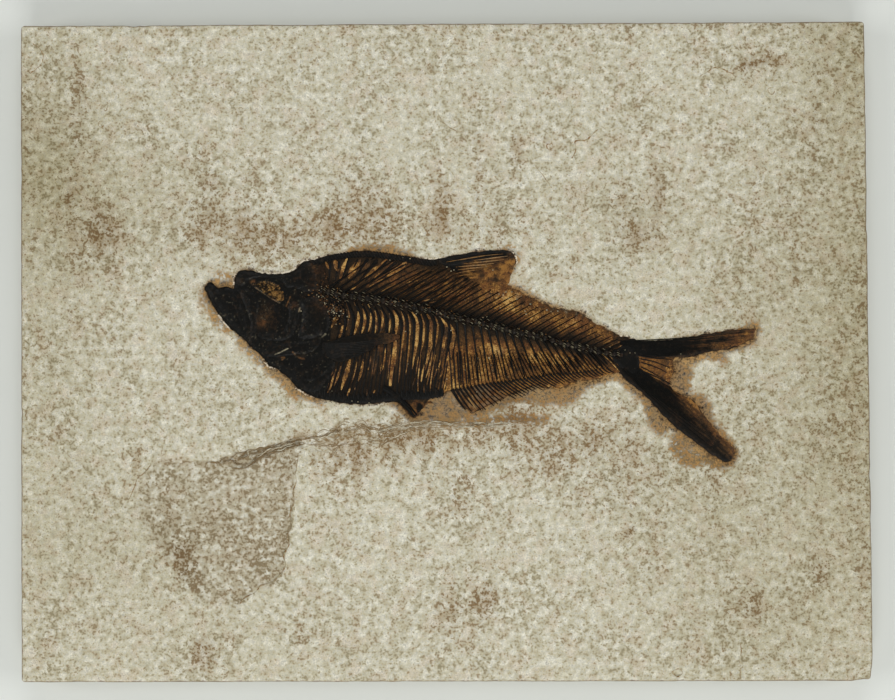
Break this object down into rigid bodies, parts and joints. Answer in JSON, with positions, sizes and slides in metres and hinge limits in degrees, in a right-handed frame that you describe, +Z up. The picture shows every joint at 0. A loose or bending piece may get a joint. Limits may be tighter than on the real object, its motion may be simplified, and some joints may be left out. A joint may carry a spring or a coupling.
{
  "type": "fossil fish slab",
  "caption": "Flat rectangular slab of pale speckled limestone with a dark fossil fish in low relief, its head plates, fins, backbone and ribs set in a shallow pocket.",
  "frame": {"origin": "centre of the slab's flat underside, on the surface that it rests on", "axes": "+X along the slab's long side towards the fish's tail, +Y towards the fish's back, +Z up out of the face that holds the fish"},
  "size_m": [0.4076, 0.3164, 0.0163],
  "materials": {
    "limestone": "matte",
    "bone": "satin",
    "film": "satin",
    "eye": "gloss"
  },
  "bodies": {
    "root": {"limestone_slab": "limestone", "body_film": "film", "eye": "eye", "skull_roof": "bone", "upper_jaw": "bone", "lower_jaw": "bone", "cheek_plate": "bone", "gill_cover": "bone", "throat_plate": "bone", "shoulder_girdle": "bone", "pectoral_fin": "bone", "pelvic_fin": "bone", "dorsal_fin": "bone", "anal_fin": "bone", "tail_upper_lobe": "bone", "tail_middle_rays": "bone", "tail_lower_lobe": "bone", "backbone": "bone", "back_scutes": "bone", "belly_scutes": "bone", "predorsal_bone_01": "bone", "predorsal_bone_02": "bone", "predorsal_bone_03": "bone", "predorsal_bone_04": "bone", "predorsal_bone_05": "bone", "predorsal_bone_06": "bone", "predorsal_bone_07": "bone", "predorsal_bone_08": "bone", "predorsal_bone_09": "bone", "rib_01": "bone", "rib_02": "bone", "rib_03": "bone", "rib_04": "bone", "rib_05": "bone", "rib_06": "bone", "rib_07": "bone", "rib_08": "bone", "rib_09": "bone", "rib_10": "bone", "rib_11": "bone", "rib_12": "bone", "rib_13": "bone", "rib_14": "bone", "rib_15": "bone", "rib_16": "bone"}
  },
  "joints": []
}
